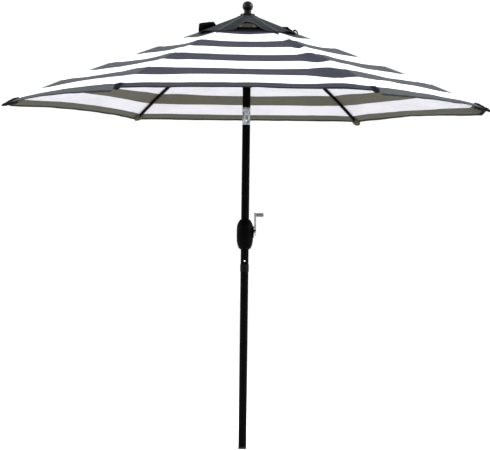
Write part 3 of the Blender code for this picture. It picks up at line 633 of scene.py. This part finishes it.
def crumpled(name, k, stations, material, seed, rough=0.0016, sides=22):
    """A sewn, crumpled body on rib k.

    Stations are (radius, half width, top, bottom), with top and bottom above the rib's cloth.
    """
    stations = np.array(stations)
    steps = np.linspace(0.0, len(stations) - 1.0, 8 * len(stations))
    fine = np.stack([np.interp(steps, range(len(stations)), stations[:, c]) for c in range(4)], -1)
    rings = []
    for radius, half, top, bottom in fine:
        ring = []
        for side in range(sides):
            angle = math.tau * side / sides
            wide = math.copysign(abs(math.cos(angle)) ** 0.7, math.cos(angle)) * half
            tall = math.copysign(abs(math.sin(angle)) ** 0.8, math.sin(angle))
            up = (top + bottom) / 2 + tall * (top - bottom) / 2
            mark = noise.noise(Vector((radius * 70, wide * 70 + seed, up * 70)))
            fold = math.sin(radius * 260 + wide * 90 + seed)
            out = radius + 0.4 * rough * fold
            ring.append(on_rib(k, out, wide * (1 + 0.06 * mark), up + rough * (mark + 0.5 * fold)))
        rings.append(ring)
    return loft_tube(name, rings, [material])


def build_pockets(dark, khaki_painted_light, slate):
    """A pocket at each corner holds its rib's end: long at the sides, hanging behind, slight in front."""
    # stations back from the end: distance, half width, top, bottom
    side = [
        (0.084, 0.006, 0.0010, -0.0100),
        (0.078, 0.016, 0.0050, -0.0240),
        (0.055, 0.020, 0.0090, -0.0210),
        (0.028, 0.017, 0.0070, -0.0130),
        (0.008, 0.011, 0.0050, -0.0070),
        (0.0, 0.005, 0.0020, -0.0030),
    ]
    back = [
        (0.044, 0.008, 0.0010, -0.0080),
        (0.038, 0.017, 0.0020, -0.0150),
        (0.022, 0.021, 0.0030, -0.0180),
        (0.008, 0.017, 0.0030, -0.0180),
        (0.0, 0.007, 0.0010, -0.0100),
    ]
    front = [
        (0.062, 0.004, 0.0020, -0.0010),
        (0.052, 0.009, 0.0070, -0.0020),
        (0.030, 0.012, 0.0120, -0.0030),
        (0.012, 0.011, 0.0090, -0.0040),
        (0.0, 0.004, 0.0030, -0.0030),
    ]
    # for each rib: its pocket's shape, how far that ends past the rim, and its cloth; the back pockets' khaki
    # cloth is painted light, the look of the cloth lit through from above
    pockets = [
        (side, 0.014, dark),
        (back, 0.003, khaki_painted_light),
        (back, -0.017, khaki_painted_light),
        (side, 0.016, dark),
        (front, 0.003, slate),
        (front, 0.003, slate),
    ]
    for k, (shape, past, material) in enumerate(pockets):
        stations = [(RIM_R + past - back_by, half, top, bottom) for back_by, half, top, bottom in shape]
        item = crumpled(f"tip_pocket_{k}", k, stations, material, 3.0 * k + 1.0)
        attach(item, f"rib_{k}")


def build_bunches(material):
    """The side corners of the vent are drawn up: spare cloth stands on the left and lies low on the right."""
    left = [
        (0.150, 0.014, 0.006, 0.004),
        (0.157, 0.040, 0.020, 0.004),
        (0.163, 0.050, 0.024, 0.003),
        (0.195, 0.054, 0.033, 0.003),
        (0.216, 0.052, 0.039, 0.002),
        (0.226, 0.048, 0.041, 0.001),
        (0.2285, 0.044, 0.036, 0.001),
        (0.2300, 0.030, 0.012, 0.001),
    ]
    right = [
        (0.164, 0.012, 0.005, 0.003),
        (0.172, 0.030, 0.009, 0.002),
        (0.187, 0.036, 0.013, 0.001),
        (0.196, 0.034, 0.012, 0.001),
        (0.210, 0.020, 0.006, 0.001),
        (0.214, 0.012, 0.004, 0.001),
    ]
    for k, stations in ((LEFT_RIB, left), (RIGHT_RIB, right)):
        # their near-black cloth, darker than the vent's own, is painted shade inside the drawn-up corners
        item = crumpled(f"vent_bunch_{k}", k, stations, material, 5.0 + k, 0.0018, 30)
        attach(item, f"rib_{k}")


def build_strap(material):
    """The strap that ties the right corner of the vent to its rib stands up in a loop."""
    centre_r, loop_wide, loop_high = 0.2270, 0.0100, 0.0110
    half, thin = 0.012, 0.0026
    rings = []
    for step in range(25):
        angle = math.pi * (1.08 - 1.16 * step / 24)
        along = centre_r + loop_wide * math.cos(angle)
        up = 0.0020 + loop_high * math.sin(angle)
        ring = []
        for side, layer in ((-half, -thin), (half, -thin), (half, thin), (-half, thin)):
            clear = max(0.0012, up + layer * math.sin(angle))
            ring.append(on_rib(RIGHT_RIB, along + layer * math.cos(angle), side, clear))
        rings.append(ring)
    item = loft_tube("vent_strap", rings, [material])
    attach(item, f"rib_{RIGHT_RIB}")


def build_hub_sleeve(material):
    """A short cloth sleeve hangs round the lower part of the rib hub, inside the vent's opening."""
    tall = np.linspace(SLEEVE_TOP_Z, SLEEVE_FOOT_Z, 7)
    flare = SLEEVE_FLARE * np.linspace(0.0, 1.0, 7) ** 2
    profile = [(SLEEVE_R + out, z) for out, z in zip(flare, tall)]
    profile += [(SLEEVE_R + out - CLOTH, z) for out, z in zip(flare[::-1], tall[::-1])]
    steps = 72
    size = len(profile)
    verts = []
    for step in range(steps):
        turn = math.tau * step / steps
        for radius, z in profile:
            wave = 0.0005 * math.sin(9 * turn) * (SLEEVE_TOP_Z - z) / (SLEEVE_TOP_Z - SLEEVE_FOOT_Z)
            verts.append(((radius + wave) * math.cos(turn), (radius + wave) * math.sin(turn), z))
    faces = []
    for step in range(steps):
        first = step * size
        after = (step + 1) % steps * size
        for k in range(size):
            beside = (k + 1) % size
            faces.append([first + k, first + beside, after + beside, after + k])
    item = new_piece("hub_sleeve", verts, faces, [material])
    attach(item, "head")


def build_drop_cord(material):
    """The taut cord from the pulley to the runner; it grows longer as the runner goes down."""
    low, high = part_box("lift_cord_drop")
    x, y = (low[0] + high[0]) / 2, (low[1] + high[1]) / 2
    radius = (high[0] - low[0]) / 2
    turns = [math.tau * k / 12 for k in range(12)]
    rings = []
    for step in range(33):
        z = high[2] + (low[2] - high[2]) * step / 32
        ring = [Vector((x + radius * math.cos(turn), y - radius * math.sin(turn), z)) for turn in turns]
        rings.append(ring)
    item = loft_tube("drop_cord", rings, [material])
    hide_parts("lift_cord_drop")
    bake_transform(item)


# ---------------------------------------------------------------- materials for the CAD nodes
def dress(nodes, material):
    """Gives CAD nodes a material and leaves their shape alone."""
    for name in nodes:
        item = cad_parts[name]
        item.data.materials.clear()
        item.data.materials.append(material)


def several(stem):
    """The names of a node that each rib has one of."""
    return [f"{stem}_{k}" for k in range(RIB_COUNT)]


def dress_frame():
    black = rgb(2, 2, 3)
    dress(["lower_pole", "mid_pole", "upper_mast"], painted("pole_powder_coat", black))
    dress(several("rib"), painted("rib_paint_worn", black, 0.45))
    dress(several("strut"), painted("strut_paint_worn", rgb(5, 5, 6), 0.42))
    dress(several("rib_bracket"), painted("bracket_paint_worn", rgb(6, 6, 7), 0.48))
    dress(["foot_plug"], moulded("foot_moulding", rgb(30, 30, 31), 0.6))
    dress(["joint_collar"], moulded("collar_moulding", rgb(4, 4, 5), 0.42, 900.0, 0.05))
    housing = moulded("housing_moulding", rgb(1, 1, 2), 0.38, 900.0, 0.02)
    dress(["crank_housing_front", "crank_housing_rear"], housing)
    dress(["cord_spool"], moulded("spool_moulding", rgb(80, 80, 80), 0.5))
    dress(["crank_grip"], moulded("grip_moulding", rgb(88, 87, 86), 0.30, 900.0, 0.3))
    dress(["tilt_button"], moulded("button_moulding", rgb(228, 228, 224), 0.35))
    dress(["rib_hub"], moulded("hub_moulding", rgb(8, 8, 9), 0.5))
    dress(["runner"], moulded("runner_moulding", rgb(9, 9, 10), 0.48))
    dress(several("rib_tip"), moulded("tip_moulding", rgb(8, 8, 8), 0.5))
    dress(["finial"], moulded("finial_moulding", rgb(4, 5, 6), 0.24, 900.0, 0.14))
    dress(["cord_pulley"], moulded("pulley_moulding", rgb(200, 198, 190), 0.45))
    dress(["snap_button"], bare_metal("snap_button_metal", rgb(222, 222, 218), 0.22, (1, 30, 1)))
    dress(["snap_spring"], bare_metal("spring_metal", rgb(170, 170, 170), 0.32, (30, 1, 1)))
    dress(["crank_shaft"], bare_metal("shaft_metal", rgb(190, 190, 190), 0.3, (30, 1, 1)))
    dress(["crank_arm"], bare_metal("arm_plating", rgb(168, 168, 167), 0.2, (1, 1, 0.2), 0.0, 0.8))
    casting = bare_metal("tilt_casting_metal", rgb(176, 181, 185), 0.34, (1, 1, 0.3), 0.0012, 0.85)
    dress(["tilt_base", "tilt_tongue"], casting)
    dress(["tilt_pin"], bare_metal("pin_metal", rgb(180, 180, 180), 0.3, (1, 30, 1)))
    dress(["lift_cord_lower", "lift_cord_upper"], braided("cord_braid", rgb(205, 203, 196)))


# ---------------------------------------------------------------- stage, light and camera
def build_stage():
    bpy.ops.mesh.primitive_plane_add(size=400, location=(0, 0, -0.001))
    floor = bpy.context.object
    floor.name = "stage_floor"
    s = Shader("stage_floor_paint")
    cloud = s.ramp(s.noise(s.place(), 0.8, 3.0), 0.3, 0.7)
    tone = s.mix(cloud, (0.975, 0.975, 0.975, 1), (0.99, 0.99, 0.99, 1))
    floor.data.materials.append(s.finish(tone, 0.9))
    world = bpy.data.worlds.new("studio")
    bpy.context.scene.world = world
    world.use_nodes = True
    back = world.node_tree.nodes["Background"]
    back.inputs["Color"].default_value = (1.0, 1.0, 1.0, 1.0)
    back.inputs["Strength"].default_value = 1.05


def add_area(name, place, aim, size, power):
    lamp = bpy.data.lights.new(name, "AREA")
    lamp.shape = "DISK"
    lamp.size = size
    lamp.energy = power
    item = bpy.data.objects.new(name, lamp)
    bpy.context.collection.objects.link(item)
    item.location = place
    item.rotation_euler = (Vector(aim) - Vector(place)).to_track_quat("-Z", "Y").to_euler()


def build_camera():
    lens = bpy.data.cameras.new("camera")
    lens.lens = LENS_MM
    lens.sensor_width = SENSOR_MM
    lens.clip_end = 200.0
    item = bpy.data.objects.new("camera", lens)
    bpy.context.collection.objects.link(item)
    item.location = CAMERA_PLACE
    item.rotation_euler = (math.radians(90 + CAMERA_UP_TILT), 0, 0)
    item.rotation_euler.rotate_axis("Z", math.radians(CAMERA_ROLL))
    bpy.context.scene.camera = item


def build_cloth():
    slate = rgb(48, 50, 62)
    white = rgb(238, 238, 242)
    bound = rgb(6, 6, 7)
    inner_edge = (0.0, MAIN_INNER + BINDING)
    vent_bound = rgb(3, 4, 4)
    vent_edge = (VENT_OUTER - VENT_BINDING, VENT_OUTER + 0.1)
    vent_top = woven("vent_top", rgb(26, 31, 34), None, vent_bound, vent_edge, 4.5, 0.3)
    # the vent's and the canopy's underside materials are copies of the top cloth whose khaki and greyer tones
    # paint the light through and under it
    vent_under_painted_light = woven("vent_under_painted_light", rgb(84, 82, 74), None, vent_bound, vent_edge, 0.7, 0.2)
    build_main([woven("canopy_top", slate, white, bound, inner_edge),
                woven("canopy_under_painted_light", rgb(71, 70, 60), rgb(186, 185, 191), bound, inner_edge, 0.7),
                # a lighter copy of the top cloth, painted light for the side gores
                woven("canopy_top_side_painted_light", rgb(62, 67, 71), white, bound, inner_edge)])
    build_vent(vent_top, vent_under_painted_light)
    build_crown(vent_top, vent_under_painted_light)
    # the khaki pocket cloth is painted light, a copy of the dark cloth as it looks from underneath
    build_pockets(crumpled_cloth("pocket_cloth_dark", rgb(20, 19, 20)),
                  crumpled_cloth("pocket_cloth", rgb(62, 60, 46)),
                  crumpled_cloth("pocket_cloth_slate", rgb(24, 25, 31)))
    # near-black, painted shade in the vent's drawn-up corners
    build_bunches(crumpled_cloth("bunch_cloth_painted_shade", rgb(4, 5, 5)))
    # the sleeve's khaki-grey is painted shade, the look of the shaded cloth inside the vent
    build_hub_sleeve(crumpled_cloth("sleeve_cloth_painted_shade", rgb(92, 90, 80)))
    build_strap(crumpled_cloth("strap_webbing", rgb(4, 5, 5), 900.0))
    build_drop_cord(braided("drop_cord_braid", rgb(205, 203, 196)))


dress_frame()
build_cloth()
build_stage()
build_camera()
add_area("key", place=(-8.0, -1.0, 5.5), aim=(0, 0, 1.6), size=5.0, power=900)
add_area("fill", place=(8.0, -1.0, 5.0), aim=(0, 0, 1.6), size=5.0, power=1100)
bpy.context.scene.view_settings.view_transform = "Standard"
